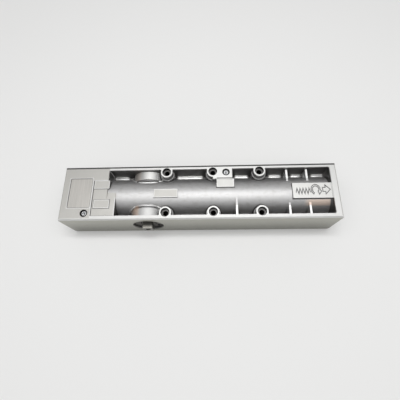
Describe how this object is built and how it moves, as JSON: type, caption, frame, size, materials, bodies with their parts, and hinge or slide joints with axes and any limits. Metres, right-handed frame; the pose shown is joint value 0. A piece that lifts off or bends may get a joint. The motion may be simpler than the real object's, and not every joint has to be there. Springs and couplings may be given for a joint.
{
  "type": "overhead door closer",
  "caption": "Box-shaped overhead door closer body with an open die-cast back, a cylinder barrel and square spindle ends; a sprung rack and pinion closes the door.",
  "frame": {"origin": "middle of the front cover's outer face, which the body lies on", "axes": "+X along the body towards the spring adjuster, +Y across it, +Z out of the mounting face"},
  "size_m": [0.29, 0.069, 0.047],
  "materials": {
    "cast_aluminium": "die-cast, shot-blasted, silver lacquer on the outside",
    "silver_cover": "fine silver lacquer",
    "spindle_steel": "bright turned steel",
    "dark_steel": "black phosphated steel",
    "zinc_steel": "zinc plated steel",
    "spring_steel": "oiled spring steel",
    "bronze": "sintered bronze",
    "seal_rubber": "black nitrile rubber",
    "ring_plastic": "filled sliding plastic"
  },
  "bodies": {
    "housing_body": {"housing": "cast_aluminium", "front_cover": "silver_cover", "near_bearing": "bronze", "far_bearing": "bronze", "near_shaft_seal": "seal_rubber", "far_shaft_seal": "seal_rubber", "near_bearing_nut": "dark_steel", "far_bearing_nut": "dark_steel", "thrust_washer": "bronze", "adjuster_o_ring": "seal_rubber", "right_end_cap": "zinc_steel", "end_cap_o_ring": "seal_rubber", "valve_o_rings": "seal_rubber", "channel_plugs": "zinc_steel"},
    "pinion_body": {"pinion": "spindle_steel"},
    "piston_body": {"piston": "spindle_steel", "piston_ring": "ring_plastic", "check_valve_ball": "spindle_steel", "check_valve_retainer": "zinc_steel", "relief_valve": "zinc_steel"},
    "adjuster_body": {"adjusting_screw": "zinc_steel", "adjuster_circlip": "spring_steel"},
    "seat_body": {"spring_seat": "dark_steel", "closing_spring": "spring_steel"},
    "closing_valve_body": {"closing_speed_valve": "zinc_steel"},
    "latching_valve_body": {"latching_speed_valve": "zinc_steel"},
    "backcheck_valve_body": {"backcheck_valve": "zinc_steel"}
  },
  "joints": [
    {"name": "pinion_turn", "type": "hinge", "parent": "housing_body", "child": "pinion_body", "pos_m": [-0.055, 0, 0.024], "axis": [0, -1, 0], "range_deg": [0, 180]},
    {"name": "piston_slide", "type": "slide", "parent": "housing_body", "child": "piston_body", "axis": [1, 0, 0], "range_m": [0, 0.03142], "stiffness_N_per_m": 40000, "deforming": ["closing_spring"]},
    {"name": "spring_force_turn", "type": "hinge", "parent": "housing_body", "child": "adjuster_body", "pos_m": [0.1295, 0, 0.024], "axis": [1, 0, 0], "range_deg": [0, 2880.1]},
    {"name": "seat_slide", "type": "slide", "parent": "housing_body", "child": "seat_body", "axis": [-1, 0, 0], "range_m": [0, 0.012], "deforming": ["closing_spring"]},
    {"name": "closing_valve_turn", "type": "hinge", "parent": "housing_body", "child": "closing_valve_body", "pos_m": [-0.132, 0.011, 0.01], "axis": [0, 0, -1], "range_deg": [0, 360]},
    {"name": "latching_valve_turn", "type": "hinge", "parent": "housing_body", "child": "latching_valve_body", "pos_m": [-0.132, -0.011, 0.01], "axis": [0, 0, -1], "range_deg": [0, 360]},
    {"name": "backcheck_valve_turn", "type": "hinge", "parent": "housing_body", "child": "backcheck_valve_body", "pos_m": [0.0296, 0.0215, 0.01], "axis": [0, 0, -1], "range_deg": [0, 360]}
  ],
  "couplings": [
    {"joint": "pinion_turn", "follows": "piston_slide", "rad_per_m": 100},
    {"joint": "spring_force_turn", "follows": "seat_slide", "rad_per_m": 4188.8}
  ]
}
